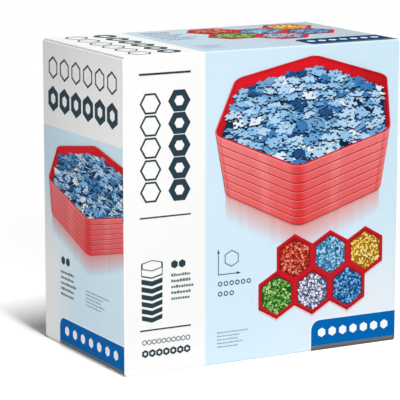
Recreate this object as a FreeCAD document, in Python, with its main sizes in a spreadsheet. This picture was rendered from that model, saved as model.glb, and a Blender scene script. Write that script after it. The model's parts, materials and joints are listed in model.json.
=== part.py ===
"""Retail folding carton, shut and glued: a square display box of printed board.

The carton is cut and creased from one sheet. Four wall panels wrap into a sleeve that is glued
along one upright edge at the rear. At each end the two side panels turn in as dust flaps, the
back panel turns over them as the inner flap, and the front panel turns over that as the outer
flap, which is glued down. The carton is full and can't be seen into, so it is one closed solid,
and its folds, the stacked cut edges of its flaps and its glue seam are on the outside of it.

Frame: millimetres, +Z up, front panel towards -Y. The origin is the middle of the base.
"""

import FreeCAD, Part
import os
import Sketcher

NODE = "carton"

SIZES = [
    # alias, value in mm, what it is
    ("carton_width", 216.0, "front panel, fold to fold"),
    ("carton_depth", 126.0, "side panel, fold to fold"),
    ("carton_height", 216.0, "outside of the bottom outer flap to outside of the top one"),
    ("board_thickness", 0.6, "thickness of the board"),
    ("fold_radius", 0.9, "outside radius of an upright fold and of an outer or inner flap's fold"),
    ("dust_fold_radius", 0.6, "outside radius of the fold of a dust flap"),
    ("outer_side_clearance", 0.8, "side panel's outside to the cut side edge of an outer flap"),
    ("outer_rear_clearance", 1.1, "back panel's outside to the cut rear edge of an outer flap"),
    ("inner_side_clearance", 1.4, "side panel's outside to the cut side edge of an inner flap"),
    ("seam_setback", 1.2, "side panel's outside to the cut edge of the back panel at the seam"),
]

# Places that follow from the sizes, as sheet expressions
SIDE = "sizes.carton_width / 2"
FACE = "sizes.carton_depth / 2"
TOP = "sizes.carton_height"
BOARD = "sizes.board_thickness"
FOLD = "sizes.fold_radius"
BACK_INSIDE = f"{FACE} - {BOARD}"
OUTER_REAR_EDGE = f"{FACE} - sizes.outer_rear_clearance"
OUTER_WIDTH = "sizes.carton_width - 2 * sizes.outer_side_clearance"
INNER_WIDTH = "sizes.carton_width - 2 * sizes.inner_side_clearance"
SEAM_EDGE = f"{SIDE} - sizes.seam_setback"
CUT_MARGIN = 2.0  # how far a cutting outline stands clear of the board


def make_sheet(doc):
    """Puts the driving sizes into the spreadsheet."""
    sheet = doc.addObject("Spreadsheet::Sheet", "sizes")
    for row, (alias, value, meaning) in enumerate(SIZES, start=1):
        sheet.set(f"A{row}", alias.replace("_", " "))
        sheet.set(f"B{row}", str(value))
        sheet.set(f"C{row}", meaning)
        sheet.setAlias(f"B{row}", alias)
    doc.recompute()
    return sheet


def origin_plane(body, role):
    return next(item for item in body.Origin.OriginFeatures if item.Role == role)


def new_sketch(body, name, role):
    """An empty sketch on one of the body's own origin planes."""
    sketch = body.newObject("Sketcher::SketchObject", name)
    sketch.AttachmentSupport = (origin_plane(body, role), [""])
    sketch.MapMode = "FlatFace"
    return sketch


def bind_place(sketch, kind, line, expression):
    """Holds a line's first point at a signed distance from the sketch's origin."""
    value = float(sketch.evalExpression(expression))
    if value >= 0:
        index = sketch.addConstraint(Sketcher.Constraint(kind, -1, 1, line, 1, value))
    else:
        index = sketch.addConstraint(Sketcher.Constraint(kind, line, 1, -1, 1, -value))
        expression = f"-({expression})"
    sketch.setExpression(f"Constraints[{index}]", expression)


def draw_outline(sketch, corners):
    """Draws a closed outline of upright and level lines through the corners, anticlockwise.

    Each corner is (across, up, radius), as expressions. A radius makes the corner a fold, drawn
    as an arc tangent to both lines, and None leaves it sharp. Only an upright line's place
    across and a level line's height are held, so each corner follows from its two lines.
    """
    points = [FreeCAD.Vector(float(sketch.evalExpression(across)),
                             float(sketch.evalExpression(up)), 0)
              for across, up, _ in corners]
    radii = [float(sketch.evalExpression(radius)) if radius else 0.0 for _, _, radius in corners]
    count = len(corners)
    lines = []
    for number in range(count):
        following = (number + 1) % count
        along = (points[following] - points[number]).normalize()
        first = points[number] + along * radii[number]
        last = points[following] - along * radii[following]
        line = sketch.addGeometry(Part.LineSegment(first, last), False)
        lines.append(line)
        across, up, _ = corners[number]
        if abs(along.x) > abs(along.y):
            sketch.addConstraint(Sketcher.Constraint("Horizontal", line))
            bind_place(sketch, "DistanceY", line, up)
        else:
            sketch.addConstraint(Sketcher.Constraint("Vertical", line))
            bind_place(sketch, "DistanceX", line, across)
    for number in range(count):
        before, after = lines[number - 1], lines[number]
        radius = corners[number][2]
        if radius is None:
            sketch.addConstraint(Sketcher.Constraint("Coincident", before, 2, after, 1))
        else:
            draw_fold(sketch, before, after, points[number], radii[number], radius)


def draw_fold(sketch, before, after, corner, size, radius):
    """Rounds a corner of the outline with an arc of the bound radius."""
    start = sketch.Geometry[before].EndPoint
    end = sketch.Geometry[after].StartPoint
    centre = start + end - corner
    outwards = (start - centre).cross(end - centre).z > 0
    first, last = (start, end) if outwards else (end, start)
    circle = Part.Circle(centre, FreeCAD.Vector(0, 0, 1), size)
    arc = sketch.addGeometry(
        Part.ArcOfCircle(circle, circle.parameter(first), circle.parameter(last)), False)
    start_point, end_point = (1, 2) if outwards else (2, 1)
    sketch.addConstraint(Sketcher.Constraint("Tangent", before, 2, arc, start_point))
    sketch.addConstraint(Sketcher.Constraint("Tangent", arc, end_point, after, 1))
    index = sketch.addConstraint(Sketcher.Constraint("Radius", arc, size))
    sketch.setExpression(f"Constraints[{index}]", radius)


def add_extrusion(body, kind, name, sketch, length, symmetric=False):
    """Adds a Pad or a Pocket whose length is bound to an expression."""
    feature = body.newObject(f"PartDesign::{kind}", name)
    feature.Profile = sketch
    feature.Type = "Length"
    feature.SideType = "Symmetric" if symmetric else "One side"
    feature.setExpression("Length", length)
    feature.Refine = True
    sketch.Visibility = False
    return feature


def make_wall_sleeve(doc, body):
    """The four wall panels round their upright folds, up to the undersides of the inner flaps."""
    sketch = new_sketch(body, "sleeve_outline", "XY_Plane")
    sketch.setExpression("AttachmentOffset.Base.z", f"2 * {BOARD}")
    draw_outline(sketch, [
        (f"-({SIDE})", f"-({FACE})", FOLD),
        (SIDE, f"-({FACE})", FOLD),
        (SIDE, FACE, FOLD),
        (f"-({SIDE})", FACE, FOLD),
    ])
    add_extrusion(body, "Pad", "wall_sleeve", sketch, f"{TOP} - 4 * {BOARD}")
    doc.recompute()


def make_dust_flap_folds(doc, body):
    """The folds where the side panels turn in as dust flaps, at both ends of the sleeve."""
    sleeve = body.Tip
    ends = (sleeve.Shape.BoundBox.ZMin, sleeve.Shape.BoundBox.ZMax)
    rims = [f"Edge{number}" for number, edge in enumerate(sleeve.Shape.Edges, start=1)
            if any(abs(edge.BoundBox.ZMin - end) + abs(edge.BoundBox.ZMax - end) < 1e-6
                   for end in ends)]
    folds = body.newObject("PartDesign::Fillet", "dust_flap_folds")
    folds.Base = (sleeve, rims)
    folds.setExpression("Radius", "sizes.dust_fold_radius")
    doc.recompute()


def make_inner_strip(doc, body):
    """The back panel with its two inner flaps, which lie on the dust flaps."""
    sketch = new_sketch(body, "inner_strip_outline", "YZ_Plane")
    front_inside = f"-({BACK_INSIDE})"
    draw_outline(sketch, [
        (front_inside, BOARD, None),
        (FACE, BOARD, FOLD),
        (FACE, f"{TOP} - {BOARD}", FOLD),
        (front_inside, f"{TOP} - {BOARD}", None),
        (front_inside, f"{TOP} - 2 * {BOARD}", None),
        (BACK_INSIDE, f"{TOP} - 2 * {BOARD}", None),
        (BACK_INSIDE, f"2 * {BOARD}", None),
        (front_inside, f"2 * {BOARD}", None),
    ])
    add_extrusion(body, "Pad", "inner_strip", sketch, INNER_WIDTH, symmetric=True)
    doc.recompute()


def make_outer_strip(doc, body):
    """The front panel with its two outer flaps, which lie on the inner flaps and end at the rear."""
    sketch = new_sketch(body, "outer_strip_outline", "YZ_Plane")
    front_inside = f"-({BACK_INSIDE})"
    draw_outline(sketch, [
        (f"-({FACE})", "0", FOLD),
        (OUTER_REAR_EDGE, "0", None),
        (OUTER_REAR_EDGE, BOARD, None),
        (front_inside, BOARD, None),
        (front_inside, f"{TOP} - {BOARD}", None),
        (OUTER_REAR_EDGE, f"{TOP} - {BOARD}", None),
        (OUTER_REAR_EDGE, TOP, None),
        (f"-({FACE})", TOP, FOLD),
    ])
    add_extrusion(body, "Pad", "outer_strip", sketch, OUTER_WIDTH, symmetric=True)
    doc.recompute()


def cut_glue_seam(doc, body):
    """The step at the rear right edge, where the back panel's cut edge lies on the glue flap.

    The right side panel folds in one board's thickness below the back panel's face, so the cut
    follows that fold's arc and then the back panel's edge.
    """
    sketch = new_sketch(body, "seam_outline", "XY_Plane")
    below_fold = f"{BACK_INSIDE} - 2 * {FOLD}"
    beyond_side = f"{SIDE} + {CUT_MARGIN}"
    beyond_back = f"{FACE} + {CUT_MARGIN}"
    draw_outline(sketch, [
        (SEAM_EDGE, BACK_INSIDE, None),
        (SIDE, BACK_INSIDE, FOLD),
        (SIDE, below_fold, None),
        (beyond_side, below_fold, None),
        (beyond_side, beyond_back, None),
        (SEAM_EDGE, beyond_back, None),
    ])
    pocket = add_extrusion(body, "Pocket", "glue_seam", sketch, TOP)
    pocket.Reversed = True
    doc.recompute()


def check_document(doc):
    """Stops where an object of the document has failed."""
    for item in doc.Objects:
        failed = [state for state in item.State if state in ("Invalid", "Error")]
        if failed:
            raise RuntimeError(f"{item.Label}: {failed}")


def check_carton(body, volumes):
    """Stops unless the carton is one closed solid and each feature changed it the right way."""
    shape = body.Shape
    if shape.isNull() or not shape.isValid() or len(shape.Solids) != 1:
        raise RuntimeError("the carton is not one valid solid")
    for name, before, after, grows in volumes:
        if (after > before) != grows:
            raise RuntimeError(f"{name} changed the volume the wrong way")


def make_carton(doc):
    """Builds the carton feature by feature and notes what each does to the volume."""
    body = doc.addObject("PartDesign::Body", NODE)
    body.Label = NODE
    volumes = []
    volume = 0.0
    steps = [
        (make_wall_sleeve, True),
        (make_dust_flap_folds, False),
        (make_inner_strip, True),
        (make_outer_strip, True),
        (cut_glue_seam, False),
    ]
    for step, grows in steps:
        step(doc, body)
        volumes.append((step.__name__, volume, body.Shape.Volume, grows))
        volume = body.Shape.Volume
    check_document(doc)
    check_carton(body, volumes)
    return body


def main():
    doc = FreeCAD.newDocument("folding_carton")
    make_sheet(doc)
    carton = make_carton(doc)
    os.makedirs("parts", exist_ok=True)
    carton.Shape.exportStep(f"parts/{NODE}.step")
    box = carton.Shape.BoundBox
    print(f"{NODE}: {box.XLength:.1f} x {box.YLength:.1f} x {box.ZLength:.1f} mm, "
          f"{carton.Shape.Volume / 1000:.1f} cm3, {len(carton.Shape.Faces)} faces")


main()
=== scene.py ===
import json
import math
import random

import bmesh
import bpy
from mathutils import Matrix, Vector

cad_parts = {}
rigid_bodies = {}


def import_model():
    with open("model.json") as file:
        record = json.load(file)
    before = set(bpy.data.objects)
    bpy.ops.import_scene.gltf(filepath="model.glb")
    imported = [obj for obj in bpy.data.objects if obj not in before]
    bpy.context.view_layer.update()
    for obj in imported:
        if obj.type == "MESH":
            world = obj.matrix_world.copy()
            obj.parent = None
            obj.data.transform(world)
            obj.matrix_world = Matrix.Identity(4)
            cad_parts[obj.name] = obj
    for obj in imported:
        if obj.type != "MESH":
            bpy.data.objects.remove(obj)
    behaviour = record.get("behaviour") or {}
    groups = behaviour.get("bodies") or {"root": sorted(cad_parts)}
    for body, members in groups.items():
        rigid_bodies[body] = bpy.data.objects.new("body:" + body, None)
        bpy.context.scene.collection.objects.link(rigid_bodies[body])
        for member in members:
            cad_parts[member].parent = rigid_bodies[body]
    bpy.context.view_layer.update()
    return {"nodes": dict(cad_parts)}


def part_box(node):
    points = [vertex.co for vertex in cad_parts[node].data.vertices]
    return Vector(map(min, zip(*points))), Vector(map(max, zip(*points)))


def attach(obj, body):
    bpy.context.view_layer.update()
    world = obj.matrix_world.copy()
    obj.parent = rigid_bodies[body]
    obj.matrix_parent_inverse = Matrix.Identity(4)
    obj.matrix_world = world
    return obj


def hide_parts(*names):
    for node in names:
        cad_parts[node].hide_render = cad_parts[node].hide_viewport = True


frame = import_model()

# A shut retail carton of printed board. Lengths are millimetres, and MM turns them into metres.
# Each panel is a drawing sheet: millimetres to the right and down from its top left corner.

MM = 0.001

# The carton's size, from the frame
LOW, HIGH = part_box("carton")
WIDTH = (HIGH.x - LOW.x) / MM
DEPTH = (HIGH.y - LOW.y) / MM
HEIGHT = (HIGH.z - LOW.z) / MM

# Board and folds, as in the part's source
BOARD = 0.6
FOLD = 0.9
DUST_FOLD = 0.6
SIDE_GAP = 0.8
REAR_GAP = 1.1
QUARTER = math.pi / 2
FOLD_STEPS = 4
# Half the turn from one side of a six-sided shape to the next
CORNER_TURN = math.pi / 6

# How far the print runs round a fold, where the dust flaps' folds start, and the sides' lowest ink
WRAP = FOLD * QUARTER - FOLD
DUST_START = 2 * BOARD + DUST_FOLD
SIDE_FOOT = HEIGHT - DUST_START + DUST_FOLD * QUARTER

# Ink lies in thin layers on the board. A level counts the layers up from the board.
LAYER = 0.05
ROOT = 0.03
FIELD_LEVEL = 1
MARK_LEVEL = 2
OUTLINE_LEVEL, PATCH_LEVEL, STRIPE_LEVEL, STUD_LEVEL = 2, 3, 4, 5
GLOW_LEVEL, INNER_LEVEL = 2, 3
CELL_LEVEL = 3

# Print layout: where the white bands end, and the patches with their stripe and studs
WHITE_BAND = 61.4
SIDE_BAND = 60.7
PATCH_TOP = 194.3
PATCH_LEFT = 145.9
SIDE_PATCH_LEFT = 24.2
SIDE_PATCH_FALL = 1.2
STRIPE = 3.5
STRIPE_TOP = 212.5
PATCH_CORNER = 7.0
PATCH_OUTLINE = 0.8
PATCH_STEPS = 8
STUDS = 7

COLOURS = {
    "board_white": (247, 247, 246),
    # The cut edge's colour is the fibre's tone lifted to near white, painted light against the shade on
    # the edges.
    "board_core_painted_light": (252, 250, 246),
    "dark_teal": (39, 61, 71),
    "text_grey": (96, 108, 116),
    "fine_grey": (146, 160, 172),
    "patch_blue": (0, 102, 178),
    "patch_blue_top_painted_shade": (24, 77, 117),
    # The patch blue on the top is a darker copy of the same ink: painted shade of how the light falls on
    # the top.
    "stripe_light": (108, 112, 113),
    "stripe_grey": (97, 97, 95),
    "ink_white": (248, 249, 250),
    "rim_red": (196, 24, 36),
    "rim_light": (240, 142, 144),
    "inner_dark": (158, 14, 22),
    "seam_red": (150, 38, 44),
    "heap_navy": (18, 46, 72),
    "chip_glint": (240, 243, 248),
    "cell_glow": (232, 200, 204),
}


def linear(value):
    """One sRGB channel from 0 to 255 as linear light."""
    value = value / 255
    if value <= 0.04045:
        return value / 12.92
    return ((value + 0.055) / 1.055) ** 2.4


def blend(first, second, share):
    """A colour between two others."""
    return tuple(a + (b - a) * share for a, b in zip(first, second))


def ramp(name, first, second, steps):
    """Adds evenly stepped colours and returns their names."""
    names = []
    for step in range(steps):
        names.append("%s_%02d" % (name, step))
        COLOURS[names[-1]] = blend(first, second, step / (steps - 1))
    return names


def rgba(colour):
    return tuple(linear(c) for c in colour) + (1.0,)


def new_object(name, data):
    """A new object in the scene."""
    made = bpy.data.objects.new(name, data)
    bpy.context.scene.collection.objects.link(made)
    return made


# Materials

# Roughness and its spread, the noise scales of the gloss and of the grain, and the grain's depth
INK_SURFACE = (0.62, 0.08, 260, 1500, 0.04)
BOARD_SURFACE = (0.55, 0.08, 180, 1200, 0.05)
EDGE_SURFACE = (0.85, 0.1, 900, 2600, 0.12)
GLOSS_DETAIL, GRAIN_DETAIL, GRAIN_STRENGTH = 3, 4, 0.25
INK_GLOSS, BOARD_GLOSS = 0.07, 0.2
PATCH_GLOSS = {"patch_blue": 0.02, "patch_blue_top_painted_shade": 0.0}
MOTTLE_SCALE, MOTTLE_DETAIL, MOTTLE_DEPTH = 60, 5, 0.015
# Sockets of a Mix node that mixes colours
MIX_FIRST, MIX_SECOND, MIX_RESULT = 6, 7, 2


def node(tree, kind, inputs, **settings):
    """A new node. Each input is given a fixed value or the output that it is linked to."""
    made = tree.nodes.new("ShaderNode" + kind)
    for name, value in settings.items():
        setattr(made, name, value)
    for name, value in inputs.items():
        if isinstance(value, bpy.types.NodeSocket):
            tree.links.new(value, made.inputs[name])
        else:
            made.inputs[name].default_value = value
    return made


def noise(tree, place, scale, detail):
    return node(tree, "TexNoise", {"Vector": place, "Scale": scale, "Detail": detail}).outputs["Fac"]


def map_range(tree, value, end, low, high, **settings):
    """A value mapped from a range to 0 and 1, or the other way, as end says."""
    inputs = {"Value": value, end + " Min": low, end + " Max": high}
    return node(tree, "MapRange", inputs, **settings).outputs["Result"]


def surface_nodes(material, roughness, spread, gloss_scale, bump_scale, bump_depth):
    """Uneven gloss and a fine grain, for coated and varnished board."""
    tree = material.node_tree
    shader = tree.nodes["Principled BSDF"]
    place = node(tree, "TexCoord", {}).outputs["Object"]
    gloss = noise(tree, place, gloss_scale, GLOSS_DETAIL)
    level = map_range(tree, gloss, "To", roughness - spread, roughness + spread)
    grain = noise(tree, place, bump_scale, GRAIN_DETAIL)
    inputs = {"Height": grain, "Strength": GRAIN_STRENGTH, "Distance": bump_depth * MM}
    bump = node(tree, "Bump", inputs)
    tree.links.new(level, shader.inputs["Roughness"])
    tree.links.new(bump.outputs["Normal"], shader.inputs["Normal"])
    return shader, place


def new_material(name):
    material = bpy.data.materials.new(name)
    material.use_nodes = True
    return material


def one_colour(name, surface, colour, gloss):
    """A material with one colour and the surface's uneven gloss and grain."""
    material = new_material(name)
    shader = surface_nodes(material, *surface)[0]
    shader.inputs["Base Color"].default_value = rgba(COLOURS[colour])
    shader.inputs["Specular IOR Level"].default_value = gloss
    return material


def ink(name):
    """Offset ink under a semi-matt varnish."""
    found = bpy.data.materials.get("ink_" + name)
    return found or one_colour("ink_" + name, INK_SURFACE, name, PATCH_GLOSS.get(name, INK_GLOSS))


def coated_board():
    """The printed side of the board, where it is left white."""
    return one_colour("coated_board", BOARD_SURFACE, "board_white", BOARD_GLOSS)


def raw_edge():
    """The cut edge of the board: fibre with no coating. Its colour is lifted above the fibre's own pale
    tone, a painted light against the shade on the narrow edges.
    """
    return one_colour("raw_board_edge", EDGE_SURFACE, "board_core_painted_light", BOARD_GLOSS)


def mix_colours(tree, share, first, second):
    """A colour between two others, each of them a fixed colour or an output."""
    inputs = {"Factor": share, MIX_FIRST: first, MIX_SECOND: second}
    return node(tree, "Mix", inputs, data_type="RGBA").outputs[MIX_RESULT]


def shade_field(name, panel, corners, across, down):
    """A pale field that runs between four corner colours, with a faint mottle of the ink. On the front,
    the top and the left the corner colours also hold painted light and shade.
    """
    material = new_material(name)
    tree = material.node_tree
    shader, place = surface_nodes(material, *INK_SURFACE)
    shader.inputs["Specular IOR Level"].default_value = INK_GLOSS
    shares = []
    for direction, (near, far) in ((panel.right, across), (panel.down, down)):
        start = panel.corner.dot(direction)
        distance = node(tree, "VectorMath", {0: place, 1: direction}, operation="DOT_PRODUCT")
        share = map_range(
            tree, distance.outputs["Value"], "From", start + near * MM, start + far * MM,
            interpolation_type="SMOOTHSTEP",
        )
        shares.append(share)
    colours = [rgba(colour) for colour in corners]
    rows = [mix_colours(tree, shares[0], *pair) for pair in (colours[:2], colours[2:])]
    whole = mix_colours(tree, shares[1], *rows)
    mottle = noise(tree, place, MOTTLE_SCALE, MOTTLE_DETAIL)
    tint = map_range(tree, mottle, "To", 1 - MOTTLE_DEPTH, 1 + MOTTLE_DEPTH)
    printed = node(tree, "VectorMath", {0: whole, "Scale": tint}, operation="SCALE")
    tree.links.new(printed.outputs["Vector"], shader.inputs["Base Color"])
    return material


# Panels

def bend(distance, low, high):
    """Along one direction: where the flat part ends, and the fold's side, radius and angle."""
    for fold, sign in ((low, -1), (high, 1)):
        if fold is None:
            continue
        start, radius = fold
        past = (distance - start) * sign
        if past > 0:
            return start, sign, radius, min(past / radius, QUARTER)
    return distance, 0, 0.0, 0.0


class Panel:
    """One side of the carton as a drawing sheet that follows the folds at its edges."""

    def __init__(self, corner, across, down, **folds):
        self.corner = Vector(corner)
        self.right = Vector(across)
        self.down = Vector(down)
        self.out = self.down.cross(self.right)
        self.folds = folds

    def at(self, x, y, lift):
        """A point of the sheet in the frame, in metres."""
        place = self.corner.copy()
        height = lift
        for distance, low, high, direction in (
            (x, self.folds.get("left"), self.folds.get("right"), self.right),
            (y, self.folds.get("top"), self.folds.get("bottom"), self.down),
        ):
            start, sign, radius, angle = bend(distance, low, high)
            along = start + sign * (radius + lift) * math.sin(angle)
            if sign:
                height = (radius + lift) * math.cos(angle) - radius
            place += direction * along * MM
        return place + self.out * height * MM

    def fold_lines(self):
        """The lines across the sheet where it starts to bend and turns further."""
        lines = []
        for side, axis, sign in (("left", 0, -1), ("right", 0, 1), ("top", 1, -1), ("bottom", 1, 1)):
            if side not in self.folds:
                continue
            start, radius = self.folds[side]
            for step in range(FOLD_STEPS):
                lines.append((axis, start + sign * radius * QUARTER * step / FOLD_STEPS))
        return lines


SIDE_ENDS = {"top": (DUST_START, DUST_FOLD), "bottom": (HEIGHT - DUST_START, DUST_FOLD)}
FRONT = Panel(
    (LOW.x, LOW.y, HIGH.z), (1, 0, 0), (0, 0, -1),
    left=(FOLD, FOLD), right=(WIDTH - FOLD, FOLD), top=(FOLD, FOLD), bottom=(HEIGHT - FOLD, FOLD),
)
LEFT = Panel(
    (LOW.x, HIGH.y, HIGH.z), (0, -1, 0), (0, 0, -1),
    left=(FOLD, FOLD), right=(DEPTH - FOLD, FOLD), **SIDE_ENDS,
)
RIGHT = Panel((HIGH.x, LOW.y, HIGH.z), (0, 1, 0), (0, 0, -1), left=(FOLD, FOLD), **SIDE_ENDS)
BACK = Panel(
    (HIGH.x, HIGH.y, HIGH.z), (-1, 0, 0), (0, 0, -1),
    right=(WIDTH - FOLD, FOLD), top=(BOARD + FOLD, FOLD), bottom=(HEIGHT - BOARD - FOLD, FOLD),
)
TOP = Panel((LOW.x, HIGH.y, HIGH.z), (1, 0, 0), (0, -1, 0), bottom=(DEPTH - FOLD, FOLD))


# Drawing with ink

def signed_area(points):
    total = 0.0
    for (ax, ay), (bx, by) in zip(points, points[1:] + points[:1]):
        total += ax * by - bx * ay
    return total / 2


class Print:
    """A printed picture: flat shapes on one panel, each a thin closed layer of ink."""

    def __init__(self, name, panel):
        self.name = name
        self.panel = panel
        self.mesh = bmesh.new()
        self.slots = []

    def slot(self, colour):
        if colour not in self.slots:
            self.slots.append(colour)
        return self.slots.index(colour)

    def rings(self, points, level):
        """The outline twice: on the board and at the top of its layer."""
        if signed_area(points) > 0:
            points = points[::-1]
        foot = [self.mesh.verts.new((x, y, -ROOT)) for x, y in points]
        head = [self.mesh.verts.new((x, y, level * LAYER)) for x, y in points]
        return foot, head

    def walls(self, foot, head, index):
        count = len(foot)
        for i in range(count):
            j = (i + 1) % count
            face = self.mesh.faces.new((foot[i], head[i], head[j], foot[j]))
            face.material_index = index

    def shape(self, points, colour, level):
        """A filled outline."""
        index = self.slot(colour)
        foot, head = self.rings(points, level)
        self.mesh.faces.new(head[::-1]).material_index = index
        self.mesh.faces.new(foot).material_index = index
        self.walls(foot, head, index)

    def frame(self, outer, inner, colour, level):
        """A closed band between two outlines with as many points."""
        index = self.slot(colour)
        outer_foot, outer_head = self.rings(outer, level)
        inner_foot, inner_head = self.rings(inner, level)
        count = len(outer)
        for i in range(count):
            j = (i + 1) % count
            head = (outer_head[j], outer_head[i], inner_head[i], inner_head[j])
            foot = (outer_foot[i], outer_foot[j], inner_foot[j], inner_foot[i])
            self.mesh.faces.new(head).material_index = index
            self.mesh.faces.new(foot).material_index = index
        self.walls(outer_foot, outer_head, index)
        self.walls(inner_foot[::-1], inner_head[::-1], index)

    def box(self, left, top, right, bottom, colour, level):
        self.shape([(left, top), (right, top), (right, bottom), (left, bottom)], colour, level)

    def cut(self, axis, distance, clear):
        """Cuts the drawing along a line across it, and may drop what lies past the line."""
        point = [0.0, 0.0, 0.0]
        normal = [0.0, 0.0, 0.0]
        point[axis] = distance
        normal[axis] = 1.0
        everything = self.mesh.verts[:] + self.mesh.edges[:] + self.mesh.faces[:]
        return bmesh.ops.bisect_plane(
            self.mesh, geom=everything, plane_co=point, plane_no=normal, clear_outer=clear
        )

    def trim(self, axis, limit):
        """Cuts off what lies past a line, and closes the cut."""
        edges = [e for e in self.cut(axis, limit, True)["geom_cut"] if isinstance(e, bmesh.types.BMEdge)]
        bmesh.ops.holes_fill(self.mesh, edges=edges, sides=0)

    def finish(self):
        """Bends the drawing onto its panel and makes the piece."""
        for axis, distance in self.panel.fold_lines():
            self.cut(axis, distance, False)
        for vertex in self.mesh.verts:
            vertex.co = self.panel.at(*vertex.co)
        data = bpy.data.meshes.new(self.name)
        self.mesh.to_mesh(data)
        self.mesh.free()
        for colour in self.slots:
            data.materials.append(colour if not isinstance(colour, str) else ink(colour))
        piece = new_object(self.name, data)
        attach(piece, "root")


def hexagon(x, y, across, tall, upright=True):
    """A six-sided outline with its points up and down, or to the sides."""
    a, t = across / 2, tall / 2
    if upright:
        corners = [(0, -t), (a, -t / 2), (a, t / 2), (0, t), (-a, t / 2), (-a, -t / 2)]
    else:
        corners = [(-a, 0), (-a / 2, -t), (a / 2, -t), (a, 0), (a / 2, t), (-a / 2, t)]
    return [(x + dx, y + dy) for dx, dy in corners]


def hexagon_ring(drawing, x, y, across, tall, stroke, colour, upright=True):
    """An outlined six-sided shape with a stroke of even width."""
    long_side, short_side = 2 * stroke / math.cos(CORNER_TURN), 2 * stroke
    if upright:
        inner = hexagon(x, y, across - short_side, tall - long_side)
    else:
        inner = hexagon(x, y, across - long_side, tall - short_side, False)
    drawing.frame(hexagon(x, y, across, tall, upright), inner, colour, MARK_LEVEL)


def chain(drawing, start, end, count, size, stroke):
    """A row of outlined six-sided shapes from start to end, across or down the panel."""
    (ax, ay), (bx, by) = start, end
    upright = abs(bx - ax) > abs(by - ay)
    flat = size * math.cos(CORNER_TURN)
    for step in range(count):
        share = step / (count - 1)
        x, y = ax + (bx - ax) * share, ay + (by - ay) * share
        across, tall = (flat, size) if upright else (size, flat)
        hexagon_ring(drawing, x, y, across, tall, stroke, "dark_teal", upright)


# How much lower than the line a short bar is, and the narrowest bar
DASH_FALL, DASH_LEAST = 0.22, 0.25


def small_print(drawing, left, rights, top, pitch, height, widths, gap, colour, draw):
    """Rows of short bars, some lower than others, where the carton has lines of small print."""
    for line, right in enumerate(rights):
        x = left
        head, foot = top + pitch * line, top + pitch * line + height
        while x < right:
            width = min(draw.uniform(*widths), right - x)
            fall = draw.choice((0, DASH_FALL, DASH_FALL)) * height
            if width > DASH_LEAST:
                drawing.box(x, head + fall, x + width, foot, colour, MARK_LEVEL)
            x += width + gap


ARROW_STROKE, ARROW_HEAD, ARROW_POINT = 0.6, 2.0, 3.2


def arrow(drawing, start, end):
    """A straight arrow across or down the panel."""
    (ax, ay), (bx, by) = start, end
    length = math.hypot(bx - ax, by - ay)
    dx, dy = (bx - ax) / length, (by - ay) / length
    neck, stroke, head = length - ARROW_POINT, ARROW_STROKE / 2, ARROW_HEAD / 2
    outline = [(0, -stroke), (neck, -stroke), (neck, -head), (length, 0)]
    outline += [(neck, head), (neck, stroke), (0, stroke)]
    points = []
    for along, side in outline:
        points.append((ax + dx * along - dy * side, ay + dy * along + dx * side))
    drawing.shape(points, "dark_teal", MARK_LEVEL)


# A picture of stacked six-sided trays filled with small chips

# Tones from dark to light, and for the glow from pale red to the field's blue
WALL_TONES = ramp("wall_red", (220, 54, 56), (243, 152, 152), 24)
INNER_TONES = ramp("inner_red", (150, 14, 22), (222, 22, 36), 8)
GLOW_TONES = ramp("glow", (226, 152, 147), (211, 233, 247), 16)
CHIP_TONES = {
    "chip_pale": (228, 237, 246),
    "chip_light": (181, 215, 240),
    "chip_sky": (146, 195, 232),
    "chip_mid": (110, 166, 212),
    "chip_blue": (58, 124, 184),
    "chip_deep": (30, 76, 126),
    "chip_dark": (14, 26, 42),
}
COLOURS.update(CHIP_TONES)
# What the two pictures of the stack share, and how thick the trays' walls are
SHARED_VIEW = {"layers": 7, "turn": -5, "distance": 420, "draft": 0.07}
TRAY_WALL = 2.0
# How often each tone comes in the lowest layer, in the highest, and in a deeper blue patch
CHIP_LOW = (1, 2, 4, 5, 5, 4, 3)
CHIP_HIGH = (4, 9, 8, 4, 2, 1, 0)
CHIP_PATCH = (0, 1, 2, 7, 6, 2, 0)
CHIP_LAYERS = 6
CHIP_LEVEL = 4
CHIP_PITCH = 3.3
CHIP_STRAY = 0.12
CHIP_SIZES = (0.9, 1.05)
CHIP_LEAN = 0.3
CHIP_THICK = 1.05
# A chip's tab as steps along its side and out from it, in parts of half the side
CHIP_TAB = ((-0.15, 0), (-0.3, 0.3), (-0.16, 0.52), (0.16, 0.52), (0.3, 0.3), (0.15, 0))
# How much darker than a chip its edge may be, in tones
CHIP_EDGES = (3, 6, 6)
# Where the deeper blue patches of the heap lie, as two waves and the height that they reach
PATCH_WAVES = ((13, 1.3), (15, 0.6))
PATCH_HEIGHT = 0.45
HEAP_CROWN = 5
WALL_LEVEL = CHIP_LEVEL + CHIP_LAYERS + 1
# Dark gaps and glints on the heap: how many, how large, and how far below the walls' level
SPECKS = {"chip_dark": (190, 1.15, 0.8), "chip_glint": (60, 0.9, 0.4)}
# The part of a wall, at each of its ends, that turns round the corner
CORNER_SHARE = 0.09
CORNER_STEPS = 3
LEAST_BEND = 0.5
WALL_STEPS, INNER_STEPS, GLOW_STEPS = 16, 4, 13
# A band's lip and seam as parts of its height, and how much lighter than the band the lip is
LIP, SEAM, LIP_LIFT = 0.14, 0.11, 5.2
# Tones of the outer walls: at the front corner, by the turn from the viewer, on the left, on the
# flats by distance, in a soft sheen, and from one band to the next
FRONT_TONE, TURN_LIFT, LEFT_FALL, FLAT_LIFT, SHEEN_LIFT, BAND_FALL = 2.0, 17, 1.6, 7, 4, 0.7
SHEEN_PLACE, SHEEN_WIDTH = 0.4, 0.07
# Tones of the inner walls: the brightest place, the upper and the lower part, and their swing
BRIGHT_PLACE, UPPER_TONE, LOWER_TONE, INNER_SWING, UPPER_SHARE = 3.55, 3.6, 2.4, 3.6, 0.7
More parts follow.
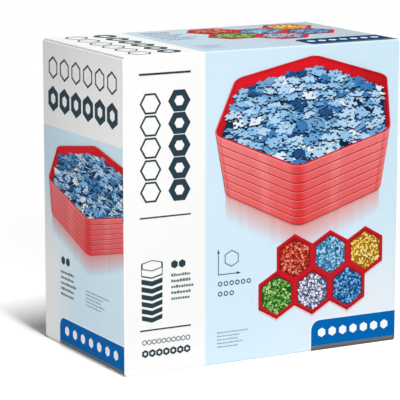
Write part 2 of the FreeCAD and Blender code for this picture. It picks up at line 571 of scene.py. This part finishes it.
# Where the glow's streaks start among its tones, and how much sooner it fades to the sides
GLOW_STREAKS = (0.5, 1.3, 0.2, 1.0, 0.7)
GLOW_FADE = 1.25
# How far the outer walls run round the side corners, and how wide the rim's light edge is
WALL_END, RIM_LIGHT = 0.7, 0.25
# How far chips stay from the far and the near wall, in chip sizes
SPARE_FAR, SPARE_NEAR = 0.9, 1.4
# Specks: how far apart, how far from the walls, and the spread of their two half sizes
SPECK_APART, SPECK_SPARE, SPECK_LONG, SPECK_SHORT = 2.4, 3, (0.6, 1), (0.3, 0.7)


def wall_places(first, last, straight):
    """Places along the wall, close together round the corners."""
    found = []
    for corner in range(math.floor(first) - 1, math.ceil(last) + 2):
        for step in range(-CORNER_STEPS, CORNER_STEPS + 1):
            found.append(corner + CORNER_SHARE * step / CORNER_STEPS)
        for step in range(1, straight):
            found.append(corner + (CORNER_SHARE + (1 - 2 * CORNER_SHARE) * step / straight))
    return [first] + [place for place in found if first < place < last] + [last]


class Tray:
    """The picture's own small perspective view: a stack of six-sided trays with round corners."""

    def __init__(self, centre, radius, layers, layer_height, turn, tilt, distance, draft, bend):
        self.centre = centre
        self.radius = radius
        self.layers = layers
        self.layer_height = layer_height
        self.turn = math.radians(turn)
        self.sine = math.sin(math.radians(tilt))
        self.cosine = math.cos(math.radians(tilt))
        self.distance = distance
        self.draft = draft
        self.bend = bend

    def spot(self, x, y, z):
        """A point of the tray on the panel."""
        near = self.distance / (self.distance + y * self.cosine - z * self.sine)
        rise = y * self.sine + z * self.cosine
        return self.centre[0] + x * near, self.centre[1] - rise * near

    def facing(self, place):
        """The direction of the wall at a place, where 0 is towards the viewer."""
        corner = math.floor(place + 0.5)
        lean = max(-1, min(1, (place - corner) / CORNER_SHARE)) * CORNER_TURN
        return self.turn + corner * 2 * CORNER_TURN + lean

    def rim_point(self, place, z, inset=0.0):
        """A point of the wall. Whole places are the corners, counted from the nearest one."""
        corner = math.floor(place + 0.5)
        offset = place - corner
        side = 1 if offset > 0 else -1
        bend = max(self.bend - inset, LEAST_BEND)
        reach = self.radius - inset + z * self.draft - bend / math.cos(CORNER_TURN)
        tip = self.turn + corner * 2 * CORNER_TURN - QUARTER
        normal = self.facing(place) - QUARTER
        past = max(0, (abs(offset) - CORNER_SHARE) / (1 - 2 * CORNER_SHARE)) * reach
        along = normal + side * QUARTER
        x = reach * math.cos(tip) + bend * math.cos(normal) + past * math.cos(along)
        y = reach * math.sin(tip) + bend * math.sin(normal) + past * math.sin(along)
        return self.spot(x, y, z)

    def outline(self, z, inset=0.0):
        return [self.rim_point(place, z, inset) for place in wall_places(-0.5, 5.5, 1)[:-1]]


def strip(drawing, tray, first, second, high, low, tone, level, inset=0.0):
    """A piece of wall between two places and two heights."""
    ends = ((first, high), (second, high), (second, low), (first, low))
    drawing.shape([tray.rim_point(place, z, inset) for place, z in ends], tone, level)


def pick(tones, tone):
    return tones[max(0, min(len(tones) - 1, round(tone)))]


def outer_walls(drawing, tray):
    """The walls in front: each tray of the stack is a band with a bright lip and a dark seam."""
    step = tray.layer_height
    lip, seam = step * LIP, step * SEAM
    end = 1 + CORNER_SHARE * WALL_END
    places = wall_places(-end, end, WALL_STEPS)
    for first, second in zip(places, places[1:]):
        middle = (first + second) / 2
        facing = abs(tray.facing(middle))
        reach = abs(middle)
        tone = FRONT_TONE + TURN_LIFT * facing - LEFT_FALL * (middle < 0)
        tone += FLAT_LIFT * reach * (CORNER_SHARE < reach < 1 - CORNER_SHARE)
        tone += SHEEN_LIFT * math.exp(-((reach - SHEEN_PLACE) / SHEEN_WIDTH) ** 2)
        for layer in range(tray.layers):
            top, bottom = -layer * step, -(layer + 1) * step
            bright = pick(WALL_TONES, tone + LIP_LIFT)
            plain = pick(WALL_TONES, tone - BAND_FALL * layer)
            strip(drawing, tray, first, second, top, top - lip, bright, WALL_LEVEL)
            strip(drawing, tray, first, second, top - lip, bottom + seam, plain, WALL_LEVEL)
            strip(drawing, tray, first, second, bottom + seam, bottom, "seam_red", WALL_LEVEL)


def inner_walls(drawing, tray, depth, wall):
    """The far walls as seen inside the tray, brightest at the back on the left."""
    places = wall_places(1, 5, INNER_STEPS)
    split = -depth * UPPER_SHARE
    for first, second in zip(places, places[1:]):
        light = math.cos((first + second - 2 * BRIGHT_PLACE) / 2 * 2 * CORNER_TURN)
        tone = pick(INNER_TONES, UPPER_TONE + INNER_SWING * light)
        shade = pick(INNER_TONES, LOWER_TONE + INNER_SWING * light)
        strip(drawing, tray, first, second, 0, split, tone, INNER_LEVEL, wall)
        strip(drawing, tray, first, second, split, -depth, shade, INNER_LEVEL, wall)


def chip_outline(tray, x, y, z, size, angle, lean, sides):
    """A square chip whose sides have a tab, a notch or neither, seen in the tray's view."""
    corners = []
    for side, bulge in enumerate(sides):
        corners.append((side, -1.0, 1.0))
        if bulge:
            corners += [(side, along, 1.0 + out * bulge) for along, out in CHIP_TAB]
    points = []
    for side, along, out in corners:
        turn = angle - side * QUARTER
        dx = size * (along * math.cos(turn) - out * math.sin(turn))
        dy = size * (along * math.sin(turn) + out * math.cos(turn))
        points.append(tray.spot(x + dx, y + dy, z + lean[0] * dx + lean[1] * dy))
    return points


def inside_hexagon(x, y, radius, turn):
    """Whether a point is inside a six-sided outline."""
    reach = radius * math.cos(CORNER_TURN)
    for number in range(6):
        angle = turn + (number - 1) * 2 * CORNER_TURN
        if x * math.cos(angle) + y * math.sin(angle) > reach:
            return False
    return True


def deep_patch(x, y):
    """Whether a place on the heap has more of the deeper blue chips."""
    (across, start), (down, head) = PATCH_WAVES
    return math.sin(x / across + start) * math.cos(y / down + head) > PATCH_HEIGHT


def heap_height(x, y, depth, inner):
    """The height of the heap, which is crowned in the middle."""
    return -depth + HEAP_CROWN * (1 - (x * x + y * y) / (inner * inner))


def chips(drawing, tray, depth, wall, size, draw):
    """The heap in the tray: loose layers of chips, each with its own thin lower edge."""
    inner = tray.radius - wall
    names = list(CHIP_TONES)
    step = size * CHIP_PITCH
    rows = int(2 * inner / step) + 3
    for layer in range(CHIP_LAYERS):
        share = layer / (CHIP_LAYERS - 1)
        plain = blend(CHIP_LOW, CHIP_HIGH, share)
        shift = (draw.uniform(-0.5, 0.5) * step, draw.uniform(-0.5, 0.5) * step)
        for row in range(rows):
            for column in range(rows):
                x = (column - rows / 2 + 0.5 * (row % 2)) * step + shift[0]
                y = (row - rows / 2) * step + shift[1]
                x += draw.uniform(-CHIP_STRAY, CHIP_STRAY) * size
                y += draw.uniform(-CHIP_STRAY, CHIP_STRAY) * size
                side = size * draw.uniform(*CHIP_SIZES)
                angle = draw.uniform(0, QUARTER)
                lean = (draw.uniform(-CHIP_LEAN, CHIP_LEAN), draw.uniform(-CHIP_LEAN, CHIP_LEAN))
                sides = [draw.choice((-1, -1, 1, 1, 0)) for number in range(4)]
                weights = CHIP_PATCH if deep_patch(x, y) else plain
                number = draw.choices(range(len(names)), weights)[0]
                spare = size * (SPARE_FAR if y > 0 else SPARE_NEAR)
                if not inside_hexagon(x, y, inner - spare, tray.turn):
                    continue
                z = heap_height(x, y, depth, inner)
                level = CHIP_LEVEL + layer
                outline = chip_outline(tray, x, y, z, side, angle, lean, sides)
                edge = names[min(number + draw.choice(CHIP_EDGES), len(names) - 1)]
                drawing.shape([(a, b + CHIP_THICK) for a, b in outline], edge, level)
                drawing.shape(outline, names[number], level + 0.5)


def specks(drawing, tray, depth, wall, count, tone, size, level, draw):
    """Small gaps or glints between the chips on top, well apart from each other."""
    inner = tray.radius - wall
    kept = []
    while len(kept) < count:
        x, y = draw.uniform(-inner, inner), draw.uniform(-inner, inner)
        near = any(math.hypot(x - a, y - b) < SPECK_APART * size for a, b in kept)
        if near or not inside_hexagon(x, y, inner - SPECK_SPARE * size, tray.turn):
            continue
        kept.append((x, y))
        z = heap_height(x, y, depth, inner)
        angle = draw.uniform(0, QUARTER)
        long_side = size * draw.uniform(*SPECK_LONG)
        short_side = size * draw.uniform(*SPECK_SHORT)
        points = []
        for corner in range(6):
            turn = corner * 2 * CORNER_TURN
            u, v = long_side * math.cos(turn), short_side * math.sin(turn)
            dx = u * math.cos(angle) - v * math.sin(angle)
            dy = u * math.sin(angle) + v * math.cos(angle)
            points.append(tray.spot(x + dx, y + dy, z))
        drawing.shape(points, tone, level)


def glow(drawing, tray, reach):
    """The pale red reflection that fades below the stack, in faint upright streaks."""
    foot = -tray.layers * tray.layer_height
    steps = len(GLOW_TONES)
    places = wall_places(-1, 1, GLOW_STEPS)
    for place, (first, second) in enumerate(zip(places, places[1:])):
        start = GLOW_STREAKS[place % len(GLOW_STREAKS)] + GLOW_FADE * abs(first + second)
        (ax, ay), (bx, by) = tray.rim_point(first, foot), tray.rim_point(second, foot)
        for number in range(math.ceil(steps - 0.5 - start)):
            top, bottom = number * reach / steps, (number + 1) * reach / steps
            points = [(ax, ay + top), (bx, by + top), (bx, by + bottom), (ax, ay + bottom)]
            drawing.shape(points, pick(GLOW_TONES, start + number), GLOW_LEVEL)


def tray_picture(drawing, tray, depth, wall, size, reach, draw):
    """The whole picture: walls, rim, heap and reflection."""
    glow(drawing, tray, reach)
    outer_walls(drawing, tray)
    drawing.shape(tray.outline(0, wall), "heap_navy", GLOW_LEVEL)
    inner_walls(drawing, tray, depth, wall)
    chips(drawing, tray, depth, wall, size, draw)
    for tone, (count, large, below) in SPECKS.items():
        specks(drawing, tray, depth, wall, count, tone, large, WALL_LEVEL - below, draw)
    drawing.frame(tray.outline(0), tray.outline(0, wall), "rim_red", WALL_LEVEL + 1)
    drawing.frame(tray.outline(0), tray.outline(0, wall * RIM_LIGHT), "rim_light", WALL_LEVEL + 2)


# A picture of six filled cells, each a colour of its own

CELL_TONES = {
    "red": ((120, 26, 18), (206, 62, 38), (228, 96, 70), (242, 150, 128), (178, 46, 30)),
    "sky": ((36, 92, 132), (84, 156, 204), (122, 188, 226), (176, 222, 244), (62, 128, 178)),
    "yellow": ((140, 92, 26), (234, 188, 46), (246, 212, 84), (252, 232, 156), (196, 144, 44)),
    "green": ((24, 80, 30), (84, 152, 58), (126, 188, 88), (184, 220, 140), (56, 120, 44)),
    "lilac": ((66, 72, 106), (168, 174, 202), (208, 211, 228), (242, 243, 249), (132, 138, 172)),
    "blue": ((12, 60, 108), (36, 110, 176), (76, 150, 206), (130, 192, 232), (24, 88, 148)),
}
for cell, tones in CELL_TONES.items():
    for number, tone in enumerate(tones):
        COLOURS["%s_%d" % (cell, number)] = tone
CELL_DEPTH = 1.6
CELL_RIM = 2.0
# How far a cell's glow and its shaded foot stand below it
GLOW_FALL, FOOT_FALL = 2.8, 1.3
FLAKE_PITCH, FLAKE_STRAY, FLAKE_SIZES, FLAKE_SPARE = 1.45, 0.4, (0.55, 0.95), 1.2
# The tones of the lower and the upper flakes, and the share of the upper ones that is drawn
FLAKE_TONES = ((1, 2, 2, 3, 4), (2, 3, 3, 0))
FLAKE_KEPT = 0.4


def cell_spots(left, top, width, height, upright):
    """The six centres and the size of a cell, in two rows or three columns that fit each other."""
    across, tall = (width / 3.5, height / 1.75) if upright else (width / 2.5, height / 2.5)
    spots = []
    for row in range(2):
        for column in range(3):
            if upright:
                x, y = column + 0.5 + 0.5 * (1 - row), 0.5 + 0.75 * row
            else:
                x, y = 0.5 + 0.75 * column, 0.5 + row + 0.5 * (column % 2)
            spots.append((left + across * x, top + tall * y))
    return spots, across, tall


def inside_cell(dx, dy, across, tall, upright):
    """Whether a point is inside a cell, in parts of its half sizes."""
    u, v = abs(dx) * 2 / across, abs(dy) * 2 / tall
    if not upright:
        u, v = v, u
    return u < 1 and v < 1 - u / 2


def cell_picture(drawing, left, top, width, height, upright, chip, draw):
    """Six cells in red frames, filled with little flakes."""
    spots, across, tall = cell_spots(left, top, width, height, upright)
    whole, hollow = (across, tall), (across - 2 * CELL_RIM, tall - 2 * CELL_RIM)
    inner = (hollow[0] * (1 - CELL_DEPTH / hollow[1]), hollow[1] - CELL_DEPTH)
    step = chip * FLAKE_PITCH
    columns, rows = int(across / step) + 2, int(tall / step) + 2
    for (x, y), cell in zip(spots, CELL_TONES):
        floor = y + CELL_DEPTH / 2
        shapes = (
            (y + GLOW_FALL, whole, "cell_glow"),
            (y + FOOT_FALL, whole, "inner_dark"),
            (y, whole, "rim_red"),
            (y, hollow, "inner_dark"),
            (floor, inner, cell + "_0"),
        )
        for number, (height_down, size, colour) in enumerate(shapes):
            drawing.shape(hexagon(x, height_down, *size, upright), colour, CELL_LEVEL + number)
        for layer in range(2):
            for row in range(rows):
                for column in range(columns):
                    dx = (column - columns / 2 + 0.5 * (row % 2)) * step
                    dy = (row - rows / 2) * step
                    dx += draw.uniform(-FLAKE_STRAY, FLAKE_STRAY) * step
                    dy += draw.uniform(-FLAKE_STRAY, FLAKE_STRAY) * step
                    angle = draw.uniform(0, QUARTER)
                    side = chip * draw.uniform(*FLAKE_SIZES)
                    tone = draw.choice(FLAKE_TONES[layer])
                    kept = layer == 0 or draw.random() < FLAKE_KEPT
                    space = (inner[0] - FLAKE_SPARE * side, inner[1] - FLAKE_SPARE * side)
                    if not kept or not inside_cell(dx, dy, *space, upright):
                        continue
                    corners = []
                    for number in range(4):
                        turn = angle + number * QUARTER
                        right, down = side * math.cos(turn), side * math.sin(turn)
                        corners.append((x + dx + right, floor + dy + down))
                    level = CELL_LEVEL + len(shapes) + layer
                    drawing.shape(corners, "%s_%d" % (cell, tone), level)


# Small drawings

# The mark of a stack: strokes of its rim and its upright edge, how far down its band a tray's dark
# side starts, and the tray's fall, width and height as parts of the mark
MARK_RIM, MARK_EDGE, MARK_SIDE, MARK_TOP_SIDE = 1.3, 0.5, 0.34, 0.82
MARK_FALL, MARK_WIDE, MARK_BANDS = 0.2, 1.12, 8.1
# The mark of the size: the ring's place, width and height as parts of the mark, and its stroke
RING, RING_STROKE = (0.6, 0.4, 0.6, 0.66), 0.7


def stack_mark(drawing, x, y, width, height):
    """A plain mark of a stack: one open tray on six dark ones."""
    tray = Tray(
        (x, y + width * MARK_FALL), radius=width / 2 * MARK_WIDE, layers=7,
        layer_height=height / MARK_BANDS, turn=0, tilt=24, distance=400, draft=0.0, bend=1.5,
    )
    drawing.frame(tray.outline(0), tray.outline(0, MARK_RIM), "dark_teal", MARK_LEVEL + 1)
    step = tray.layer_height
    corners = (-1, 0, 1)
    for layer in range(tray.layers):
        top, bottom = -(layer + MARK_SIDE) * step, -(layer + 1) * step
        if layer == 0:
            top = -MARK_TOP_SIDE * step
        points = [tray.rim_point(corner, top) for corner in corners]
        points += [tray.rim_point(corner, bottom) for corner in corners[::-1]]
        drawing.shape(points, "dark_teal", MARK_LEVEL)
    for corner, inward in ((-1, MARK_EDGE), (1, -MARK_EDGE)):
        ax, ay = tray.rim_point(corner, 0)
        bx, by = tray.rim_point(corner, -step)
        points = [(ax, ay), (ax + inward, ay), (bx + inward, by), (bx, by)]
        drawing.shape(points, "dark_teal", MARK_LEVEL)


def size_mark(drawing, left, top, size):
    """A plain outline with an arrow up its side and one along its foot."""
    x, y, across, tall = (size * part for part in RING)
    hexagon_ring(drawing, left + x, top + y, across, tall, RING_STROKE, "text_grey")
    foot, side = top + size - ARROW_STROKE / 2, left + ARROW_STROKE
    arrow(drawing, (side, top + size), (side, top))
    arrow(drawing, (left + ARROW_STROKE / 2, foot), (left + size, foot))


def patch_outline(left, top, right, bottom, radius):
    points = [(right, top), (right, bottom), (left, bottom)]
    for step in range(PATCH_STEPS + 1):
        angle = QUARTER * step / PATCH_STEPS
        x, y = radius * math.cos(angle), radius * math.sin(angle)
        points.append((left + radius - x, top + radius - y))
    return points


def patch(drawing, left, top, right, bottom, studs, blue="patch_blue", stripe=STRIPE):
    """A blue patch with one round corner, a white outline and a grey stripe along its foot."""
    edge = PATCH_OUTLINE
    outline = patch_outline(left - edge, top - edge, right, bottom, PATCH_CORNER + edge)
    drawing.shape(outline, "ink_white", OUTLINE_LEVEL)
    drawing.shape(patch_outline(left, top, right, bottom, PATCH_CORNER), blue, PATCH_LEVEL)
    split = bottom - WRAP - stripe / 2
    drawing.box(left, bottom - stripe - WRAP, right, split, "stripe_light", STRIPE_LEVEL)
    drawing.box(left, split, right, bottom, "stripe_grey", STRIPE_LEVEL)
    start, end, size = studs
    middle = (top + bottom - stripe - WRAP) / 2
    for number in range(STUDS):
        x = start + (end - start) * number / (STUDS - 1)
        drawing.shape(hexagon(x, middle, size * math.cos(CORNER_TURN), size), "ink_white", STUD_LEVEL)


# The board

MERGE_DISTANCE = 1e-6
FLAT_ANGLE, SHARP_ANGLE = math.radians(0.5), math.radians(35)
# How far a face's direction may be off, and how far the cut edge at the seam is from the rear
UPRIGHT, SQUARE, SEAM_REACH = 0.1, 0.98, 1.2 * BOARD


def carton_board():
    """The folded board itself, with raw fibre on its cut edges."""
    data = frame["nodes"]["carton"].data.copy()
    data.name = "carton_board"
    data.materials.clear()
    data.materials.append(coated_board())
    data.materials.append(raw_edge())
    mesh = bmesh.new()
    mesh.from_mesh(data)
    bmesh.ops.remove_doubles(mesh, verts=mesh.verts[:], dist=MERGE_DISTANCE)
    bmesh.ops.dissolve_limit(mesh, angle_limit=FLAT_ANGLE, verts=mesh.verts[:], edges=mesh.edges[:])
    for face in mesh.faces:
        face.material_index = 1 if is_cut_edge(face) else 0
        face.smooth = True
    mesh.to_mesh(data)
    mesh.free()
    piece = new_object("carton_board", data)
    data.set_sharp_from_angle(angle=SHARP_ANGLE)
    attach(piece, "root")
    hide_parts("carton")


def is_cut_edge(face):
    """Whether a face is a cut edge of the board: upright, and inside the carton's outer sides."""
    middle = face.calc_center_median() / MM
    normal = face.normal
    low, high = LOW / MM, HIGH / MM
    if abs(normal.z) > UPRIGHT:
        return False
    near_end = middle.z < low.z + 2 * BOARD or middle.z > high.z - 2 * BOARD
    sideways = abs(normal.x) > SQUARE and abs(middle.x) < high.x - BOARD / 2
    rearward = normal.y > SQUARE and middle.y < high.y - BOARD / 2 and near_end
    return (sideways and near_end) or rearward or (sideways and middle.y > high.y - SEAM_REACH)


# Fields of pale blue

# Each field's panel, its four corner colours, the spans across and down over which they grade,
# and the plain rectangles that the ink covers. The front's, the top's and the left's corner colours
# also hold painted light and shade.
FIELDS = {
    "front": (
        # Painted light and print: the field is a little lighter towards the left at the top, a painted
        # light falling from the left; the lighter lower right is the print's own grading.
        FRONT, ((212, 235, 249), (208, 233, 247), (212, 235, 249), (232, 240, 246)),
        (WHITE_BAND + 20, WIDTH), (110, 190),
        (
            (WHITE_BAND, -WRAP, WIDTH - FOLD, HEIGHT + WRAP),
            (WIDTH - FOLD, 2 * BOARD, WIDTH + WRAP, HEIGHT - 2 * BOARD),
        ),
    ),
    "top": (
        # Painted shade: the top's corners are darker than the front's and greyer towards the right, for
        # how the light falls on the top.
        TOP, ((202, 221, 234), (186, 198, 206), (196, 216, 230), (188, 204, 214)),
        (WHITE_BAND + 30, WIDTH - 8), (0, DEPTH),
        ((WHITE_BAND, REAR_GAP, WIDTH - SIDE_GAP, DEPTH - FOLD),),
    ),
    "left": (
        # Painted light and shade: darker at the top towards the rear, and near white at the lower rear
        # corner, a painted bounce of light from the floor.
        LEFT, ((208, 231, 243), (213, 237, 250), (254, 254, 253), (218, 241, 252)),
        (0, 62), (78, 172),
        ((-WRAP, SIDE_BAND, DEPTH - FOLD, SIDE_FOOT),),
    ),
    "right": (
        RIGHT, ((205, 231, 247), (209, 233, 248), (226, 240, 248), (214, 236, 249)),
        (0, DEPTH), (100, 200),
        ((FOLD, SIDE_BAND, DEPTH - FOLD, SIDE_FOOT),),
    ),
    "back": (
        BACK, ((209, 233, 248), (205, 228, 240), (214, 236, 249), (222, 236, 245)),
        (0, WIDTH), (60, 200),
        ((FOLD + BOARD, FOLD + BOARD, WIDTH - WHITE_BAND, HEIGHT - FOLD - BOARD),),
    ),
}


def draw_fields():
    """The blue fields of all five printed panels, with their turns round the folds."""
    for name, (panel, corners, across, down, parts) in FIELDS.items():
        material = shade_field(name + "_blue", panel, corners, across, down)
        drawing = Print(name + "_field", panel)
        for part in parts:
            drawing.box(*part, material, FIELD_LEVEL)
        drawing.finish()


# Print on the front

def front_print():
    draw = random.Random(7)
    words = Print("front_marks", FRONT)
    for top, foot in ((11.6, 13.0), (108.2, 109.2), (185.2, 186.2)):
        words.box(11.6, top, 50.3, foot, "dark_teal", MARK_LEVEL)
    chain(words, (20.0, 32.0), (20.0, 91.4), 5, 16.0, 1.25)
    chain(words, (41.7, 31.2), (41.7, 91.6), 5, 16.8, 4.0)
    stack_mark(words, 20.7, 138.0, 16.8, 46.0)
    for x in (37.8, 43.6):
        words.shape(hexagon(x, 142.2, 5.0, 5.8), "dark_teal", MARK_LEVEL)
    rights = (49.8, 50.4, 52.4, 50.0, 49.2)
    small_print(words, 35.3, rights, 148.6, 4.03, 1.9, (1.0, 2.2), 0.45, "text_grey", draw)
    chain(words, (14.8, 194.0), (48.0, 194.0), 10, 3.8, 0.5)
    chain(words, (15.4, 201.8), (47.4, 201.8), 7, 5.6, 1.4)
    size_mark(words, 71.0, 135.4, 18.2)
    chain(words, (73.0, 159.8), (95.4, 159.8), 6, 3.8, 0.7)
    chain(words, (73.0, 166.8), (82.0, 166.8), 3, 3.8, 0.7)
    rights = (95.0, 88.0, 87.0, 91.0, 87.0)
    small_print(words, 70.7, rights, 193.4, 2.5, 1.0, (0.9, 2.4), 0.4, "fine_grey", draw)
    words.finish()

    stack = Print("front_tray_picture", FRONT)
    tray = Tray((141.3, 39.5), radius=76.0, layer_height=7.0, tilt=30, bend=12.0, **SHARED_VIEW)
    tray_picture(stack, tray, depth=9.0, wall=TRAY_WALL, size=4.2, reach=22.0, draw=draw)
    stack.finish()

    cells = Print("front_cell_picture", FRONT)
    cell_picture(cells, 103.1, 130.6, 101.0, 57.6, upright=True, chip=1.25, draw=draw)
    cells.finish()

    badge = Print("front_patch", FRONT)
    side = WIDTH - FOLD
    patch(badge, PATCH_LEFT, PATCH_TOP, side, HEIGHT + WRAP, studs=(154.5, 206.5, 6.8))
    badge.box(side, PATCH_TOP, WIDTH + WRAP, STRIPE_TOP, "patch_blue", PATCH_LEVEL)
    badge.box(side, STRIPE_TOP, WIDTH + WRAP, HEIGHT - 2 * BOARD, "stripe_grey", PATCH_LEVEL)
    badge.finish()


# Print on the left side

def left_print():
    draw = random.Random(11)
    words = Print("left_marks", LEFT)
    chain(words, (17.4, 19.0), (109.6, 19.0), 6, 16.2, 1.4)
    chain(words, (17.0, 40.9), (109.8, 40.9), 6, 18.3, 4.4)
    for x in (30.6, 38.2):
        words.shape(hexagon(x, 153.9, 5.9, 6.4), "dark_teal", MARK_LEVEL)
    rights = (48.0, 47.6, 51.4, 48.0, 47.0)
    small_print(words, 26.7, rights, 161.2, 4.0, 1.9, (1.3, 2.8), 0.6, "text_grey", draw)
    rights = (103.0, 93.0, 91.0, 96.0, 91.0)
    small_print(words, 67.1, rights, 167.8, 2.5, 1.0, (1.1, 2.8), 0.5, "fine_grey", draw)
    words.finish()

    stack = Print("left_tray_picture", LEFT)
    tray = Tray((79.0, 87.0), radius=73.0, layer_height=3.5, tilt=21, bend=11.0, **SHARED_VIEW)
    tray_picture(stack, tray, depth=7.0, wall=TRAY_WALL, size=3.6, reach=15.0, draw=draw)
    stack.trim(0, DEPTH - FOLD)
    stack.finish()

    badge = Print("left_patch", LEFT)
    top, stripe = PATCH_TOP + SIDE_PATCH_FALL, STRIPE - SIDE_PATCH_FALL
    studs = (36.0, 113.0, 7.2)
    patch(badge, SIDE_PATCH_LEFT, top, DEPTH - FOLD, SIDE_FOOT, studs, stripe=stripe)
    badge.finish()


# Print on the top

def top_print():
    draw = random.Random(13)
    words = Print("top_marks", TOP)
    chain(words, (20.0, 14.0), (20.0, 110.4), 6, 17.6, 1.4)
    chain(words, (42.2, 14.0), (42.2, 110.4), 6, 18.2, 4.4)
    rights = (93.0, 90.0, 96.0, 88.0, 98.6, 91.0)
    small_print(words, 70.0, rights, 11.0, 8.4, 3.6, (1.2, 2.6), 0.9, "text_grey", draw)
    rights = (91.4, 86.0, 88.0, 84.0, 87.0)
    small_print(words, 70.0, rights, 93.4, 3.6, 1.5, (1.1, 2.8), 0.6, "fine_grey", draw)
    words.finish()

    cells = Print("top_cell_picture", TOP)
    cell_picture(cells, 102.0, 8.0, 103.7, 79.0, upright=False, chip=1.9, draw=draw)
    cells.finish()

    badge = Print("top_patch", TOP)
    studs = (154.5, 206.5, 6.4)
    # The top's patch takes the darker copy of the patch blue, a painted shade.
    patch(badge, PATCH_LEFT, 96.0, WIDTH - SIDE_GAP, DEPTH - FOLD, studs, "patch_blue_top_painted_shade")
    badge.finish()


# Print on the right side, which the photograph doesn't show

def right_print():
    badge = Print("right_patch", RIGHT)
    outline, side = DEPTH - 23.6, DEPTH - 24.7
    badge.box(FOLD, PATCH_TOP - PATCH_OUTLINE, outline, SIDE_FOOT, "ink_white", OUTLINE_LEVEL)
    badge.box(FOLD, PATCH_TOP, side, SIDE_FOOT, "patch_blue", PATCH_LEVEL)
    badge.box(FOLD, STRIPE_TOP, side, SIDE_FOOT, "stripe_grey", STRIPE_LEVEL)
    badge.finish()


# The photograph's camera

SENSOR, LENS = 36.0, 203.6
CAMERA_PLACE = (-0.7666, -1.3775, 0.4006)
CAMERA_TILT, CAMERA_TURN = 10.766, -28.575


def make_camera():
    data = bpy.data.cameras.new("camera")
    data.sensor_width = SENSOR
    data.lens = LENS
    camera = new_object("camera", data)
    camera.location = CAMERA_PLACE
    camera.rotation_euler = (math.radians(90 - CAMERA_TILT), 0, math.radians(CAMERA_TURN))
    bpy.context.scene.camera = camera


# Plain studio light

SKY_LEVEL = 0.08
FLOOR_BOUNCE = 0.72
FLOOR_SHOWN = 1.25
# Where the floor starts to fade to white, where it is white, and how far it reaches
FLOOR_NEAR, FLOOR_FAR, FLOOR_REACH = 0.26, 0.6, 12.0


def softbox(name, place, target, size, power):
    """A soft lamp that the camera doesn't see, as wide and as tall as size says."""
    data = bpy.data.lights.new(name, "AREA")
    data.shape = "RECTANGLE"
    data.size, data.size_y = size
    data.energy = power
    lamp = new_object(name, data)
    lamp.location = place
    lamp.rotation_euler = (Vector(target) - Vector(place)).to_track_quat("-Z", "Y").to_euler()
    lamp.visible_camera = False
    return lamp


def seen_rays(tree):
    """The Light Path node, and an output that is 1 for the rays that show a thing to the camera."""
    path = node(tree, "LightPath", {})
    total = path.outputs["Is Camera Ray"]
    for name in ("Is Glossy Ray", "Is Transmission Ray"):
        both = node(tree, "Math", {0: total, 1: path.outputs[name]}, operation="ADD", use_clamp=True)
        total = both.outputs["Value"]
    return path, total


def make_world():
    """A white studio that shows bright but gives little light of its own."""
    world = bpy.data.worlds.new("studio")
    bpy.context.scene.world = world
    world.use_nodes = True
    tree = world.node_tree
    background = tree.nodes["Background"]
    background.inputs["Color"].default_value = (1, 1, 1, 1)
    strength = map_range(tree, seen_rays(tree)[1], "To", SKY_LEVEL, 1.0)
    tree.links.new(strength, background.inputs["Strength"])


def make_floor():
    """A pale floor that shows white, with the carton's shadow near it."""
    data = bpy.data.meshes.new("floor")
    corners = [(x * FLOOR_REACH, y * FLOOR_REACH, 0) for x, y in ((-1, -1), (1, -1), (1, 1), (-1, 1))]
    data.from_pydata(corners, [], [(0, 1, 2, 3)])
    floor = new_object("floor", data)
    material = new_material("floor_white")
    data.materials.append(material)
    tree = material.node_tree
    tree.nodes.remove(tree.nodes["Principled BSDF"])
    path, seen = seen_rays(tree)
    paint = mix_colours(tree, seen, (FLOOR_BOUNCE,) * 3 + (1,), (FLOOR_SHOWN,) * 3 + (1,))
    shader = node(tree, "BsdfDiffuse", {"Color": paint})
    white = node(tree, "Emission", {"Color": (1, 1, 1, 1)})
    where = node(tree, "NewGeometry", {}).outputs["Position"]
    length = node(tree, "VectorMath", {0: where}, operation="LENGTH").outputs["Value"]
    far = map_range(tree, length, "From", FLOOR_NEAR, FLOOR_FAR, interpolation_type="SMOOTHSTEP")
    camera_ray = path.outputs["Is Camera Ray"]
    shown = node(tree, "Math", {0: far, 1: camera_ray}, operation="MULTIPLY")
    choice = node(
        tree, "MixShader",
        {"Fac": shown.outputs["Value"], 1: shader.outputs["BSDF"], 2: white.outputs["Emission"]},
    )
    tree.links.new(choice.outputs["Shader"], tree.nodes["Material Output"].inputs["Surface"])


def away(azimuth, elevation, distance):
    """A place round the carton. Azimuth 0 is in front of it, and a plus sign is towards its left."""
    turn, rise = math.radians(azimuth), math.radians(elevation)
    flat = distance * math.cos(rise)
    return (-flat * math.sin(turn), -flat * math.cos(turn), HEIGHT * MM / 2 + distance * math.sin(rise))


def make_light():
    """A high key lamp, a low fill in front, a near fill that grades the left side alone, and
    a far fill for the right side and the back. The last two light only the carton."""
    make_world()
    middle = (0, 0, HEIGHT * MM / 2)
    softbox("key", away(azimuth=4, elevation=71, distance=5.0), middle, size=(0.4, 2.0), power=202)
    front = away(azimuth=14, elevation=15, distance=4.5)
    softbox("front_fill", front, middle, size=(2.0, 2.0), power=78)
    low_left = (LOW.x, -0.04, 0.06)
    side = softbox("side_fill", (-0.33, -0.08, 0.04), low_left, size=(0.12, 0.4), power=0.35)
    behind = away(azimuth=-135, elevation=2, distance=4.0)
    far = softbox("far_fill", behind, middle, size=(2.0, 2.0), power=56)
    far.visible_glossy = False
    lit = bpy.data.collections.new("carton_pieces")
    for piece in bpy.context.scene.objects:
        if piece.type == "MESH":
            lit.objects.link(piece)
    for lamp in (side, far):
        lamp.light_linking.receiver_collection = lit


carton_board()
draw_fields()
front_print()
left_print()
top_print()
right_print()
make_camera()
make_light()
make_floor()

bpy.context.scene.view_settings.view_transform = "Standard"
